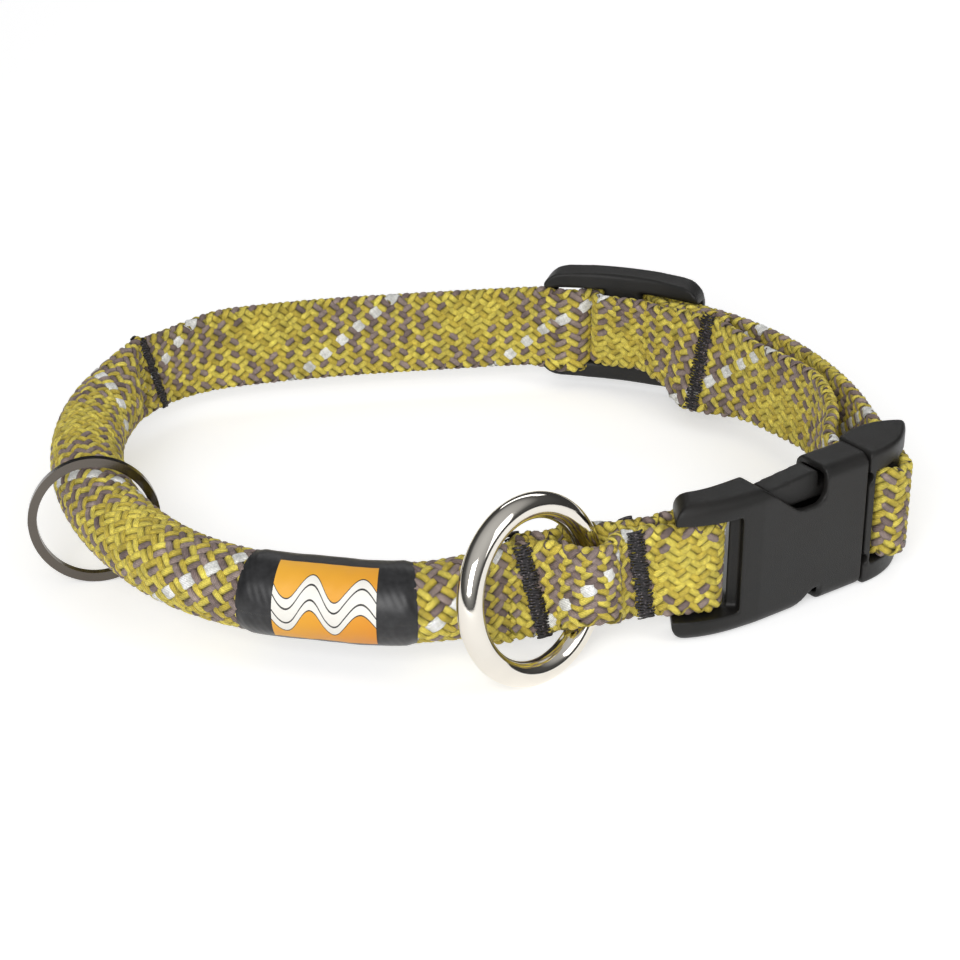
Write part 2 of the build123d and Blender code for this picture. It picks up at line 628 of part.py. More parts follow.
# ---------------------------------------------------------------- slider
def build_slider():
    reach = SLIDER_LENGTH / 2
    bar_half = SLIDER_BAR_THICKNESS / 2
    open_half = (STRAP_WIDTH - SLIDER_GATHER) / 2 + SIDE_GAP
    inner_face = SLIDER_OUT - bar_half
    height = SLIDER_RAIL + SLIDER_BOW
    curve = main.part(SLIDER_AT - reach, SLIDER_AT + reach).offset(inner_face + SLIDER_THICKNESS / 2)
    face = RectangleRounded(SLIDER_THICKNESS, height, SLIDER_EDGE_RADIUS)
    rail = sweep(frame_at(curve.knots[0]) * face, path=curve.wire())
    x, y, h = slider_bar
    foot = Plane((x, y, MID - open_half - PAST), x_dir=(*unit(h), 0), z_dir=(0, 0, 1))
    post = 2 * (open_half + PAST)
    bar = RectangleRounded(SLIDER_MIDDLE_BAR, SLIDER_BAR_THICKNESS, bar_half - ROUND_END)
    body = extrude(foot * bar, post)
    for up in (1, -1):
        body += Pos(0, 0, up * (open_half + height / 2)) * rail
    end_out = inner_face + SLIDER_THICKNESS - SLIDER_INSET - SLIDER_END_THICKNESS / 2
    for first in (SLIDER_AT - reach, SLIDER_AT + reach - SLIDER_END_BAR):
        line = main.part(first, first + SLIDER_END_BAR).offset(end_out)
        body += sweep(frame_at(line.knots[0]) * Rectangle(SLIDER_END_THICKNESS, post), path=line.wire())
    side = open_half + SLIDER_RAIL
    top = ThreePointArc((-reach, side), (0, side + SLIDER_BOW), (reach, side))
    bottom = ThreePointArc((reach, -side), (0, -side - SLIDER_BOW), (-reach, -side))
    outline = make_face([top, Line(top @ 1, bottom @ 0), bottom, Line(bottom @ 1, top @ 0)])
    outline = fillet(outline.vertices(), SLIDER_CORNER)
    body &= slider_plane() * extrude(outline, ROOM, both=True)
    pieces["slider_frame"] = Pos(0, 0, SLIDER_GATHER / 2) * body


build_rope()
build_front_strap()
build_back_strap()
build_end_loop()
build_sleeve()
build_rings()
build_socket()
build_plug()
build_slider()

# the origin is below the middle of the collar's bounding box
box = Compound(list(pieces.values())).bounding_box()
shift = Pos(-(box.min.X + box.max.X) / 2, -(box.min.Y + box.max.Y) / 2, -box.min.Z)
for name, piece in pieces.items():
    export_step(shift * piece, f"parts/{name}.step")
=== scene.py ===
"""Looks for the adjustable rope collar: braid, stitching, satin, plated rings and moulded plastic.

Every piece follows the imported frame.  Lengths are worked out in millimetres and turned into metres
when a mesh is made.  The braid is real strands: twelve each way round a tube that is round or flat.
"""
import bpy
import json
import math
import numpy as np
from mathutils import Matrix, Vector


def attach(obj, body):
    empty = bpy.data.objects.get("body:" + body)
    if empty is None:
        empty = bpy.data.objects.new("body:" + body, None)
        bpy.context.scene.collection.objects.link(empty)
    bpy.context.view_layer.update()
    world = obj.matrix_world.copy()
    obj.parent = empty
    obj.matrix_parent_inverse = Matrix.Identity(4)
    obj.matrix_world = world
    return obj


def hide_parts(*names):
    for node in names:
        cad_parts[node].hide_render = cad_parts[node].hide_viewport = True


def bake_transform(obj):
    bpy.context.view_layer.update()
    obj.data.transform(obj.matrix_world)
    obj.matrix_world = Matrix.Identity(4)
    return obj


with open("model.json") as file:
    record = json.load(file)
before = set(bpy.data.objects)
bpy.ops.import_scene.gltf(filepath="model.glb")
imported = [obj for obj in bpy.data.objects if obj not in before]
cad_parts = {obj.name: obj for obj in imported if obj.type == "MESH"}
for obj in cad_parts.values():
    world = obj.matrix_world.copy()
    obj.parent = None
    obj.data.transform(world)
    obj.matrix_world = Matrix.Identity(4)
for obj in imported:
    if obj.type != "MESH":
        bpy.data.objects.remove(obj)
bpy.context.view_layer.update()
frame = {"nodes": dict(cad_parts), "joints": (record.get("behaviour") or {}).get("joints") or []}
rng = np.random.default_rng(7)
MM = 0.001

# ---------------------------------------------------------------- sizes, as in the part
STRAP_HALF_WIDTH = 9.4
STRAP_HALF_THICKNESS = 1.3
ROPE_RADIUS = 7.3
LAYER = 2.9                   # pitch of two straps on each other
MID = 14.0
BAR_WRAP = 2.85
PLUG_WRAP = 3.45
SLIDER_WRAP = 2.75

STATIONS = [
    (39.3, -46.6, 194.1),
    (-3.1, -60.1, 200.5),
    (-22.4, -61.6, 168.2),
    (-32.3, -59.7, 169.8),
    (-60.3, -43.3, 129.9),
    (-72.4, 32.5, 65.0),
    (-53.0, 49.4, 16.9),
    (6.4, 60.5, 7.7),
    (41.1, 54.7, -26.7),
    (66.4, 30.4, -60.8),
    (76.2, 2.0, -81.0),
    (80.6, -23.7, -81.0),
]
INNER_STATIONS = [
    (67.9, -12.8, 97.0),
    (69.8, -0.9, 84.0),
    (69.3, 12.3, 99.0),
    (62.5, 24.9, 128.0),
]
TACK_1, TACK_2, TACK_3, TACK_4 = 32.0, 11.5, 192.5, 324.4
FOLD_TO = 3.5
FRONT_END, ROUND_FROM, ROUND_TO, FLAT_FROM = 36.0, 47.0, 178.0, 190.0
INNER_LAYER_END = 34.8
SLEEVE_AT, SLEEVE_HALF = 68.0, 14.75
TAG_RING_AT = 127.0
SLIDER_AT, SLIDER_OUT = 301.0, -0.9
SLIDER_REACH = 18.35          # half the slider's length, with its clearance
SLIDER_BEND = 3.2             # the strap turns this far from the middle bar's middle
SLIDER_HUMP = 4.85            # the outer strap over the slider, beside the middle line
GATHER, GATHER_SLOPE = 2.2, 4.0
DIVES_AT = 5.0                # the strap goes between the rails this far before the middle bar
LOOP_INNER, LOOP_TAIL, LOOP_MEETS, LOOP_MEETING = -7.4, 3.4, 14.0, -0.4


# ---------------------------------------------------------------- tracks in plan
def unit(heading):
    a = math.radians(heading)
    return math.cos(a), math.sin(a)


def turn_between(h0, h1):
    return (h1 - h0 + 180) % 360 - 180


def biarc_joint(k0, k1):
    (x0, y0, h0), (x1, y1, h1) = k0, k1
    t0, t1 = unit(h0), unit(h1)
    v = (x1 - x0, y1 - y0)
    v_v = v[0] ** 2 + v[1] ** 2
    v_t = v[0] * (t0[0] + t1[0]) + v[1] * (t0[1] + t1[1])
    bend = 2 * (1 - t0[0] * t1[0] - t0[1] * t1[1])
    d = v_v / (2 * v_t) if bend < 1e-9 else (math.sqrt(v_t**2 + bend * v_v) - v_t) / bend
    xm = (x0 + x1 + d * (t0[0] - t1[0])) / 2
    ym = (y0 + y1 + d * (t0[1] - t1[1])) / 2
    chord = math.degrees(math.atan2(ym - y0, xm - x0))
    return xm, ym, h0 + 2 * turn_between(h0, chord)


class Track:
    """A line in plan made of tangent arcs; each knot is (x, y, heading)."""

    def __init__(self, knots):
        self.knots = knots
        self.starts = [0.0]
        for a, b in zip(knots, knots[1:]):
            chord = math.hypot(b[0] - a[0], b[1] - a[1])
            half = math.radians(abs(turn_between(a[2], b[2]))) / 2
            arc = chord if half < 1e-6 else chord * half / math.sin(half)
            self.starts.append(self.starts[-1] + arc)
        self.length = self.starts[-1]

    def at(self, s):
        i = 0
        while i < len(self.knots) - 2 and s > self.starts[i + 1]:
            i += 1
        x, y, h = self.knots[i]
        span = self.starts[i + 1] - self.starts[i]
        along = s - self.starts[i]
        turn = turn_between(h, self.knots[i + 1][2]) * along / span
        half = math.radians(abs(turn)) / 2
        chord = along if half < 1e-6 else along * math.sin(half) / half
        dx, dy = unit(h + turn / 2)
        return x + chord * dx, y + chord * dy, h + turn

    def part(self, s0, s1):
        inner = [k for k, s in zip(self.knots, self.starts) if s0 + 1e-3 < s < s1 - 1e-3]
        return Track([self.at(s0)] + inner + [self.at(s1)])

    def beside(self, s, offset, swing=0.0):
        x, y, h = self.at(s)
        dx, dy = unit(h + 90)
        return x + offset * dx, y + offset * dy, h + swing

    def sample(self, distances):
        """Arrays of x, y and unwrapped heading at the given distances."""
        knots = np.array([self.at(s) for s in distances])
        return knots[:, 0], knots[:, 1], np.radians(knots[:, 2])


def moved(knot, along, aside, swing=0.0):
    """A knot moved along its heading and to its left, and turned."""
    x, y, h = knot
    dx, dy = unit(h)
    return x + along * dx - aside * dy, y + along * dy + aside * dx, h + swing


def through(stations):
    knots = [stations[0]]
    for a, b in zip(stations, stations[1:]):
        knots.append(biarc_joint(a, b))
        knots.append(b)
    return Track(knots)


def join(*tracks):
    knots = list(tracks[0].knots)
    for track in tracks[1:]:
        knots += track.knots[1:]
    return Track(knots)


def u_turn(centre, radius, start, turn):
    side = -90 if turn > 0 else 90
    steps = math.ceil(abs(turn) / 90)
    knots = []
    for i in range(steps + 1):
        h = start + turn * i / steps
        dx, dy = unit(h + side)
        knots.append((centre[0] + radius * dx, centre[1] + radius * dy, h))
    return knots


main = through(STATIONS)
tag_joint = next(j for j in frame["joints"] if j["name"] == "tag_ring_swing")
tag_x, tag_y, _ = main.at(TAG_RING_AT)
SHIFT = np.array([tag_joint["pos_m"][0] / MM - tag_x, tag_joint["pos_m"][1] / MM - tag_y, 0.0])


# ---------------------------------------------------------------- meshes
def make_object(name, verts, faces, material, smooth=True):
    """An object from millimetre vertices in the part's plan frame."""
    mesh = bpy.data.meshes.new(name)
    mesh.from_pydata((np.asarray(verts) * MM).tolist(), [], [tuple(f) for f in faces])
    mesh.update()
    if smooth:
        mesh.shade_smooth()
    obj = bpy.data.objects.new(name, mesh)
    bpy.context.scene.collection.objects.link(obj)
    mesh.materials.append(material)
    return obj


def grid_faces(rows, columns, wrap, start=0):
    """Quads of a grid whose columns may close on themselves."""
    i = np.arange(rows - 1)[:, None]
    j = np.arange(columns if wrap else columns - 1)[None, :]
    k = (j + 1) % columns
    here, above = i * columns, (i + 1) * columns
    quad = np.stack([here + j, above + j, above + k, here + k], -1)
    return quad.reshape(-1, 4) + start


def set_uv(mesh, name, uv):
    """A UV map from one pair per vertex."""
    layer = mesh.uv_layers.new(name=name)
    index = np.zeros(len(mesh.loops), np.int32)
    mesh.loops.foreach_get("vertex_index", index)
    layer.data.foreach_set("uv", np.asarray(uv, np.float32)[index].ravel())


def set_colours(mesh, colours):
    layer = mesh.color_attributes.new(name="yarn", type="FLOAT_COLOR", domain="POINT")
    layer.data.foreach_set("color", np.asarray(colours, np.float32).ravel())


# ---------------------------------------------------------------- materials
class Nodes:
    """A short way to build a material's nodes."""

    def __init__(self, name):
        self.material = bpy.data.materials.new(name)
        self.material.use_nodes = True
        self.tree = self.material.node_tree
        self.shader = self.tree.nodes["Principled BSDF"]

    def node(self, kind, inputs=None, **settings):
        node = self.tree.nodes.new("ShaderNode" + kind)
        for key, value in settings.items():
            setattr(node, key, value)
        for key, value in (inputs or {}).items():
            if hasattr(value, "is_output"):
                self.tree.links.new(value, node.inputs[key])
            else:
                node.inputs[key].default_value = value
        return node

    def set(self, **values):
        for key, value in values.items():
            socket = self.shader.inputs[key.replace("_", " ")]
            if hasattr(value, "is_output"):
                self.tree.links.new(value, socket)
            else:
                socket.default_value = value

    def math(self, operation, a, b=0.0):
        return self.node("Math", {0: a, 1: b}, operation=operation).outputs[0]

    def mix(self, share, a, b, blend_type="MIX"):
        node = self.node("Mix", data_type="RGBA", blend_type=blend_type)
        for index, value in ((0, share), (6, a), (7, b)):
            if hasattr(value, "is_output"):
                self.tree.links.new(value, node.inputs[index])
            else:
                node.inputs[index].default_value = value
        return node.outputs[2]

    def noise(self, vector, scale, detail=2.0, roughness=0.5):
        inputs = {"Scale": scale, "Detail": detail, "Roughness": roughness}
        if vector is not None:
            inputs["Vector"] = vector
        return self.node("TexNoise", inputs).outputs["Fac"]

    def ramp(self, value, stops):
        node = self.node("ValToRGB", {"Fac": value})
        elements = node.color_ramp.elements
        while len(elements) < len(stops):
            elements.new(0.5)
        for element, (place, grey) in zip(elements, stops):
            element.position = place
            element.color = grey if isinstance(grey, tuple) else (grey, grey, grey, 1)
        return node.outputs["Color"]

    def bump(self, height, strength, distance, normal=None):
        inputs = {"Height": height, "Strength": strength, "Distance": distance}
        if normal is not None:
            inputs["Normal"] = normal
        return self.node("Bump", inputs).outputs["Normal"]


def object_place(m):
    return m.node("TexCoord").outputs["Object"]


def braid_material():
    """Twisted yarns: the strands' colours, with fine fibres across each yarn."""
    m = Nodes("braid")
    colour = m.node("VertexColor", layer_name="yarn").outputs["Color"]
    fibre = m.node("UVMap", uv_map="fibre").outputs["UV"]
    turned = m.node("Mapping", {"Vector": fibre, "Rotation": (0, 0, math.radians(10)),
                                "Scale": (10, 10, 1)})
    threads = m.node("TexWave", {"Vector": turned.outputs[0], "Scale": 1.1, "Distortion": 1.6,
                                 "Detail": 2.0, "Detail Scale": 2.0}, bands_direction="Y").outputs["Fac"]
    specks = m.noise(object_place(m), 2600, 3)
    # painted light and shade along the fibres: the colour follows the same waves as the bump, darker in
    # their hollows
    light = m.ramp(threads, [(0.0, 0.72), (1.0, 1.12)])
    mottle = m.ramp(specks, [(0.3, 0.78), (0.7, 1.18)])
    shaded = m.mix(1.0, m.mix(1.0, colour, light, "MULTIPLY"), mottle, "MULTIPLY")
    height = m.math("ADD", threads, m.math("MULTIPLY", specks, 0.6))
    m.set(Base_Color=shaded, Roughness=0.62, Normal=m.bump(height, 0.55, 0.00012))
    m.set(Specular_IOR_Level=0.35, Sheen_Weight=0.12, Sheen_Roughness=0.4)
    return m.material


def thread_material():
    """Black sewing thread with paler filaments."""
    m = Nodes("stitching")
    place = object_place(m)
    patches = m.noise(place, 2300, 3, 0.7)
    colour = m.ramp(patches, [(0.50, (0.006, 0.005, 0.006, 1)), (0.60, (0.035, 0.028, 0.032, 1)),
                              (0.72, (0.36, 0.31, 0.32, 1))])
    m.set(Base_Color=colour, Roughness=0.5, Normal=m.bump(m.noise(place, 5000), 0.5, 0.0001))
    return m.material


def satin_material():
    """Black satin: a fine diagonal weave with a soft shine."""
    m = Nodes("satin")
    place = m.node("UVMap", uv_map="cloth").outputs["UV"]
    turned = m.node("Mapping", {"Vector": place, "Rotation": (0, 0, math.radians(30))}).outputs[0]
    weave = m.node("TexWave", {"Vector": turned, "Scale": 9.0, "Distortion": 0.4}).outputs["Fac"]
    worn = m.noise(object_place(m), 700, 4)
    colour = m.ramp(worn, [(0.35, (0.006, 0.006, 0.007, 1)), (0.75, (0.022, 0.022, 0.024, 1))])
    m.set(Base_Color=colour, Roughness=0.42, Normal=m.bump(weave, 0.35, 0.00006))
    m.set(Sheen_Weight=0.15, Sheen_Roughness=0.35)
    return m.material


def label_material():
    """A woven amber label: a cream wave with dark outlines, under a black hem."""
    m = Nodes("label")
    place = m.node("UVMap", uv_map="cloth").outputs["UV"]
    split = m.node("SeparateXYZ", {"Vector": place})
    x, y = split.outputs[0], split.outputs[1]
    sweep = m.math("ADD", m.math("MULTIPLY", x, 0.6), m.math("MULTIPLY", y, 0.5))
    amber = m.ramp(sweep, [(0.0, (0.74, 0.26, 0.012, 1)), (0.5, (0.80, 0.36, 0.018, 1)),
                           (1.0, (0.84, 0.42, 0.03, 1))])
    wave = m.math("MULTIPLY", m.math("SINE", m.math("MULTIPLY", x, 4 * math.pi)), 0.13)
    away = m.math("ABSOLUTE", m.math("SUBTRACT", m.math("SUBTRACT", y, 0.44), wave))
    band = m.ramp(away, [(0.0, (0.86, 0.84, 0.78, 1)), (0.170, (0.010, 0.009, 0.008, 1)),
                         (0.185, (0, 0, 0, 0))])
    m.tree.nodes[-1].color_ramp.interpolation = "CONSTANT"
    inside = m.math("LESS_THAN", away, 0.185)
    vein = m.math("LESS_THAN", m.math("ABSOLUTE", m.math("SUBTRACT", away, 0.075)), 0.010)
    white = m.mix(vein, band, (0.010, 0.009, 0.008, 1))
    border = m.math("GREATER_THAN", y, 0.905)
    colour = m.mix(border, m.mix(inside, amber, white), (0.008, 0.008, 0.008, 1))
    weave = m.node("TexWave", {"Vector": place, "Scale": 30.0, "Distortion": 0.0},
                   bands_direction="Y").outputs["Fac"]
    m.set(Base_Color=colour, Roughness=0.45, Normal=m.bump(weave, 0.3, 0.00005), Sheen_Weight=0.1)
    return m.material


def chrome_material(name, tint, roughness):
    """Plated steel with faint polishing marks."""
    m = Nodes(name)
    place = object_place(m)
    marks = m.node("Mapping", {"Vector": place, "Scale": (1, 1, 6)}).outputs[0]
    haze = m.noise(marks, 450, 4, 0.6)
    rough = m.node("MapRange", {"Value": haze, "To Min": roughness * 0.6,
                                "To Max": roughness * 1.8}).outputs[0]
    darker = tuple(0.93 * c for c in tint)
    colour = m.ramp(m.noise(place, 120, 2), [(0.3, darker + (1,)), (0.7, tint + (1,))])
    m.set(Base_Color=colour, Metallic=1.0, Roughness=rough, Normal=m.bump(haze, 0.06, 0.00005))
    return m.material


def plastic_material(name):
    """Black moulded plastic with a fine spark-eroded grain, shinier in broad random patches."""
    m = Nodes(name)
    place = object_place(m)
    grain = m.noise(place, 5200, 2, 0.6)
    broad = m.noise(place, 160, 3)
    colour = m.ramp(broad, [(0.3, (0.008, 0.008, 0.0075, 1)), (0.7, (0.014, 0.013, 0.012, 1))])
    rough = m.node("MapRange", {"Value": broad, "From Min": 0.3, "From Max": 0.7, "To Min": 0.34,
                                "To Max": 0.46}).outputs[0]
    m.set(Base_Color=colour, Roughness=rough, Normal=m.bump(grain, 0.6, 0.00012),
          Specular_IOR_Level=0.32)
    return m.material


def core_material():
    """Pale stranded filler."""
    m = Nodes("core")
    colour = m.ramp(m.noise(object_place(m), 900, 4), [(0.3, (0.35, 0.34, 0.31, 1)),
                                                       (0.7, (0.62, 0.60, 0.55, 1))])
    m.set(Base_Color=colour, Roughness=0.85)
    return m.material


def seen(nodes, names):
    """One where a ray comes straight from the camera or off metal, and zero elsewhere."""
    path = nodes.new("ShaderNodeLightPath")
    total = path.outputs[names[0]]
    for name in names[1:]:
        add = nodes.new("ShaderNodeMath")
        add.operation = "MAXIMUM"
        nodes.id_data.links.new(total, add.inputs[0])
        nodes.id_data.links.new(path.outputs[name], add.inputs[1])
        total = add.outputs[0]
    return total


def floor_material():
    m = Nodes("floor")
    share = seen(m.tree.nodes, ("Is Camera Ray", "Is Glossy Ray", "Is Transmission Ray"))
    white = m.mix(share, (0, 0, 0, 1), (1, 1, 1, 1))
    m.set(Base_Color=(0.86, 0.86, 0.86, 1), Roughness=0.9, Specular_IOR_Level=0.1)
    m.set(Emission_Color=white, Emission_Strength=FLOOR_GLOW)
    return m.material


FLOOR_GLOW = 0.45
BRAID = braid_material()
THREAD = thread_material()
SATIN = satin_material()
LABEL = label_material()
CHROME = chrome_material("chrome_steel", (0.80, 0.76, 0.69), 0.06)
# the split ring's tint is painted dark: a dark reflection of the studio painted into the steel's colour
NICKEL_PAINTED_DARK = chrome_material("split_ring_steel", (0.13, 0.115, 0.10), 0.16)
PLASTIC = plastic_material("buckle_plastic")
CORE = core_material()


# ---------------------------------------------------------------- the braid
CARRIERS = 12                 # strands each way
LEAD = 45.0                   # along the collar for one turn of a strand
STEPS = 6                     # mesh rings for each crossing
RELIEF = 0.30                 # a strand's rise and fall over its crossings
FLATNESS = 1.8                # how sharply it dives at each one
STRAND_DEPTH = 0.78           # from the outer face to the strands' middle
PROFILE = np.array([          # two yarns side by side: across and up
    (-1.42, -0.25), (-1.36, 0.08), (-1.10, 0.32), (-0.74, 0.40), (-0.38, 0.30),
    (-0.12, 0.02), (0.0, -0.14), (0.12, 0.02), (0.38, 0.30), (0.74, 0.40),
    (1.10, 0.32), (1.36, 0.08), (1.42, -0.25), (0.0, -0.42),
])
RIBBON = PROFILE * [0.9, 1.0]
RIBBON[4:9, 1] = 0.38
# painted shade: darker at each strand's edges, where it dives under its neighbours, and in the groove
# between its two yarns
EDGE_SHADE = np.array([0.4, 0.85, 1, 1, 0.95, 0.6, 0.25, 0.6, 0.95, 1, 1, 0.85, 0.4, 0.3])
SECOND_YARN = np.array([0, 0, 0, 0, 0, 0, 0.5, 1, 1, 1, 1, 1, 1, 0.5])
YARNS = {
    "O": (0.62, 0.485, 0.068),
    "L": (0.77, 0.64, 0.105),
    "T": (0.225, 0.165, 0.150),
    "G": (0.320, 0.245, 0.220),
    "W": (0.90, 0.90, 0.86),
}
# SHADE is painted shade: the colour of the tube that shows in the gaps between the strands
SHADE = (0.06, 0.048, 0.030)
ROPE_PHASE, FRONT_PHASE, STRAP_PHASE = 0.10, 0.44, 0.80   # these place the white strand
# each strand's two yarns, for the strands that climb and the strands that fall along the collar
CLIMBING = ["LT", "OG", "LT", "OG", "LG", "OT", "LO", "OL", "LL", "OL", "LO", "OG"]
FALLING = ["WW", "LT", "OG", "LG", "OT", "LO", "OL", "LL", "OL", "OG", "LT", "LG"]


def stadium(phi, half_width, radius):
    """Point and normal on a stadium at a share of its outline, from its outer face's middle upwards."""
    flat = half_width - radius
    arc = np.pi * radius
    total = 4 * flat + 2 * arc
    p = np.mod(phi, 1.0) * total
    out, up = np.empty_like(p), np.empty_like(p)
    n_out, n_up = np.empty_like(p), np.empty_like(p)
    flat, arc, radius = (np.broadcast_to(v, p.shape) for v in (flat, arc, radius))
    a = p < flat
    b = (p >= flat) & (p < flat + arc)
    c = (p >= flat + arc) & (p < 3 * flat + arc)
    d = (p >= 3 * flat + arc) & (p < 3 * flat + 2 * arc)
    e = p >= 3 * flat + 2 * arc
    out[a], up[a], n_out[a], n_up[a] = radius[a], p[a], 1, 0
    t = (p[b] - flat[b]) / radius[b]
    out[b], up[b] = radius[b] * np.cos(t), flat[b] + radius[b] * np.sin(t)
    n_out[b], n_up[b] = np.cos(t), np.sin(t)
    out[c], up[c], n_out[c], n_up[c] = -radius[c], 2 * flat[c] + arc[c] - p[c], -1, 0
    t = (p[d] - 3 * flat[d] - arc[d]) / radius[d]
    out[d], up[d] = -radius[d] * np.cos(t), -flat[d] - radius[d] * np.sin(t)
    n_out[d], n_up[d] = -np.cos(t), -np.sin(t)
    out[e], up[e], n_out[e], n_up[e] = radius[e], p[e] - 4 * flat[e] - 2 * arc[e], 1, 0
    return out, up, n_out, n_up


class Shape:
    """How a braid's tube is laid: its line, half width, end radius, lift and lean at each distance."""

    def __init__(self, track, width=None, radius=None, lift=None, lean=None, out=None):
        self.track = track
        self.width = width or (lambda s: np.full_like(s, STRAP_HALF_WIDTH))
        self.radius = radius or (lambda s: np.full_like(s, STRAP_HALF_THICKNESS))
        self.lift = lift or (lambda s: np.zeros_like(s))
        self.lean = lean or (lambda s: np.zeros_like(s))
        self.out = out or (lambda s: np.zeros_like(s))

    def place(self, s, phi, depth):
        """Points and normals at a depth below the outer face; s is one value for each row of phi."""
        x, y, h = self.track.sample(s)
        a, r = self.width(s), self.radius(s)
        sink = np.minimum(depth, r * 0.999)
        o, u, no, nu = stadium(phi, (a - sink)[:, None] + 0 * phi, (r - sink)[:, None] + 0 * phi)
        lean = self.lean(s)[:, None]
        co, so = np.cos(lean), np.sin(lean)
        o, u = o * co - u * so + self.out(s)[:, None], o * so + u * co
        no, nu = no * co - nu * so, no * so + nu * co
        across = (-np.sin(h)[:, None], np.cos(h)[:, None])
        z = MID + self.lift(s)[:, None] + u
        points = np.stack([x[:, None] + o * across[0], y[:, None] + o * across[1], z], -1)
        normals = np.stack([no * across[0], no * across[1], nu], -1)
        return points, normals


def braid(name, shape, body, first, last, phase=0.0, shift=0.0):
    """A stretch of braid from one distance to another along its shape's track.

    phase turns the strands round the tube and shift moves the crossings along it.
    """
    step = LEAD / (2 * CARRIERS) / STEPS
    count = max(3, int(round((last - first) / step)) + 1)
    s = np.linspace(first, last, count)
    width = len(PROFILE)
    verts, faces, colours, fine, baked = [], [], [], [], []
    start = 0
    total = 2 * CARRIERS
    for way in (1, -1):
        family = CLIMBING if way > 0 else FALLING
        for k in range(CARRIERS):
            turn = (s + shift) / LEAD
            phi = (k / CARRIERS + phase + way * turn)[:, None]
            centre, normal = shape.place(s, phi, STRAND_DEPTH)
            centre, normal = centre[:, 0], normal[:, 0]
            weave = np.tanh(FLATNESS * np.cos(2 * np.pi * CARRIERS * turn)) / math.tanh(FLATNESS)
            wobble = 1 + 0.06 * rng.standard_normal(count)
            centre = centre + normal * (way * RELIEF * weave * wobble)[:, None]
            along = np.gradient(centre, axis=0)
            along /= np.linalg.norm(along, axis=1, keepdims=True)
            side = np.cross(normal, along)
            side /= np.linalg.norm(side, axis=1, keepdims=True)
            lobes = RIBBON if family[k] == "WW" else PROFILE
            squeeze = 1.0 - 0.10 * (1 - way * weave) / 2
            ring = centre[:, None] + side[:, None] * (lobes[None, :, :1] * squeeze[:, None, None])
            ring = ring + normal[:, None] * lobes[None, :, 1:]
            verts.append(ring.reshape(-1, 3))
            faces.append(grid_faces(count, width, True, start))
            start += count * width
            left, right = (np.array(YARNS[letter]) for letter in family[k])
            yarn = left + (right - left) * SECOND_YARN[:, None]
            tone = 1 + 0.22 * rng.standard_normal((count, 1, 1))
            tone = (tone + np.roll(tone, 1, 0) + np.roll(tone, 2, 0)) / 3
            # painted shade: each strand is darker where it dives under the strands that cross it
            painted_dive_shade = 0.5 + 0.5 * ease((1.4 + way * weave[:, None, None]) / 2)
            # painted shade at the strand's edges and in the groove between its yarns; the top of each yarn
            # stays bright
            shade = np.maximum(EDGE_SHADE, 0.9 * (lobes[:, 1] > 0.25))
            colour = np.clip(yarn[None] * tone * shade[None, :, None] * painted_dive_shade, 0, 1)
            colours.append(np.concatenate([colour, np.ones((count, width, 1))], -1).reshape(-1, 4))
            across = np.linspace(0, 1, width)[None, :] + np.zeros((count, 1))
            strand = k + (CARRIERS if way < 0 else 0)
            length = ((s - first) / (last - first))[:, None] + np.zeros((1, width))
            baked.append(np.stack([length, (strand + 0.06 + 0.88 * across) / total], -1).reshape(-1, 2))
            metres = (s[:, None] * 1.414 + 0 * across) / 10
            fine.append(np.stack([metres, lobes[None, :, 0] / 10 + strand + 0 * across], -1).reshape(-1, 2))
    # painted shade: a tube just below the strands, coloured dark, that shows in the gaps between them
    around = 40
    rows = max(3, count // 2)
    s_in = np.linspace(first, last, rows)
    ring_phi = np.linspace(0, 1, around, endpoint=False)[None, :] + np.zeros((rows, 1))
    inside, _ = shape.place(s_in, ring_phi, STRAND_DEPTH + 0.1)
    verts.append(inside.reshape(-1, 3))
    faces.append(grid_faces(rows, around, True, start))
    colours.append(np.tile(np.array(SHADE + (1,)), (rows * around, 1)))
    along = np.linspace(0, 1, rows)[:, None] + 0 * ring_phi
    flat = np.stack([along, ring_phi * 0.001], -1).reshape(-1, 2)
    baked.append(flat)
    fine.append(flat)
    obj = make_object(name, np.concatenate(verts) + SHIFT, np.concatenate(faces), BRAID)
    set_uv(obj.data, "OFBake", np.concatenate(baked))
    set_uv(obj.data, "fibre", np.concatenate(fine))
    set_colours(obj.data, np.concatenate(colours))
    if body:
        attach(obj, body)
    return obj


# ---------------------------------------------------------------- where the braid runs
def ease(value):
    f = np.clip(value, 0.0, 1.0)
    return f * f * (3 - 2 * f)


def hump(s, middle, reach):
    """One at the middle, falling smoothly to nothing at the reach."""
    return ease(1 - np.abs(s - middle) / reach)


def roundness(s):
    """How round the sheath is: 0 flat, 1 round."""
    swelling = ease((s - FRONT_END + 1) / (ROUND_FROM - FRONT_END + 4))
    return swelling * ease((FLAT_FROM - 1 - s) / (FLAT_FROM - ROUND_TO + 3))


def sheath_shape():
    def width(s):
        spread = 0.9 * hump(s, FRONT_END + 1, 6) - 0.25 * hump(s, SLEEVE_AT, 16)
        return STRAP_HALF_WIDTH + (ROPE_RADIUS - STRAP_HALF_WIDTH) * roundness(s) + spread

    def radius(s):
        pinch = 0.25 * hump(s, SLEEVE_AT, 16)
        return STRAP_HALF_THICKNESS + (ROPE_RADIUS - STRAP_HALF_THICKNESS) * roundness(s) - pinch

    def out(s):
        return LAYER / 2 * ease((ROUND_FROM - s) / (ROUND_FROM - FRONT_END))

    return Shape(main, width, radius, out=out)


